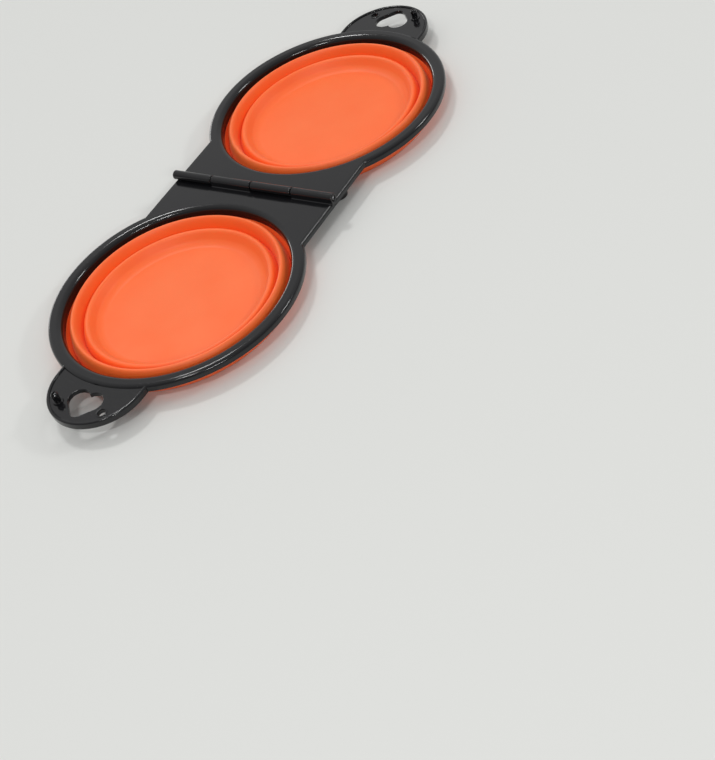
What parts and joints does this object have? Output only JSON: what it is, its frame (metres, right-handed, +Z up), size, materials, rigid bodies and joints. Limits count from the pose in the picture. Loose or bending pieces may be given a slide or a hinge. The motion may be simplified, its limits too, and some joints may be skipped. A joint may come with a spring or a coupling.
{
  "type": "collapsible bowl",
  "caption": "Twin collapsible travel bowl: two hinged black ring frames with snap tabs, each holding an orange silicone bowl that folds flat; opens flat for feeding and closes over itself.",
  "frame": {"origin": "In plan the middle of the hinge pin; in height the table under the collapsed bowls' floors and the two feet.", "axes": "X runs along the hinge pin, Y from the near bowl over the hinge to the far bowl, Z up out of the bowls' mouths."},
  "size_m": [0.136, 0.3384, 0.0172],
  "materials": {
    "frame_plastic": "glossy black moulded plastic",
    "silicone": "smooth satin silicone",
    "pin_steel": "drawn steel wire"
  },
  "bodies": {
    "near_half": {"near_frame": "frame_plastic", "hinge_pin": "pin_steel", "near_rim_band": "silicone", "near_outer_fold": "silicone"},
    "near_middle": {"near_middle_band": "silicone", "near_inner_fold": "silicone"},
    "near_floor": {"near_floor_cup": "silicone"},
    "far_half": {"far_frame": "frame_plastic", "far_rim_band": "silicone", "far_outer_fold": "silicone"},
    "far_middle": {"far_middle_band": "silicone", "far_inner_fold": "silicone"},
    "far_floor": {"far_floor_cup": "silicone"}
  },
  "joints": [
    {"name": "fold_hinge", "type": "hinge", "parent": "near_half", "child": "far_half", "pos_m": [0, 0, 0.01475], "axis": [1, 0, 0], "range_deg": [0, 181.8]},
    {"name": "near_outer_slide", "type": "slide", "parent": "near_half", "child": "near_middle", "axis": [0, 0, -1], "range_m": [0, 0.0162], "deforming": ["near_outer_fold"]},
    {"name": "near_inner_slide", "type": "slide", "parent": "near_middle", "child": "near_floor", "axis": [0, 0, -1], "range_m": [0, 0.0114], "deforming": ["near_inner_fold"]},
    {"name": "far_outer_slide", "type": "slide", "parent": "far_half", "child": "far_middle", "axis": [0, 0, -1], "range_m": [0, 0.0162], "deforming": ["far_outer_fold"]},
    {"name": "far_inner_slide", "type": "slide", "parent": "far_middle", "child": "far_floor", "axis": [0, 0, -1], "range_m": [0, 0.0114], "deforming": ["far_inner_fold"]}
  ],
  "couplings": [
    {"joint": "near_inner_slide", "follows": "near_outer_slide", "ratio": 0.7037},
    {"joint": "far_inner_slide", "follows": "far_outer_slide", "ratio": 0.7037}
  ]
}
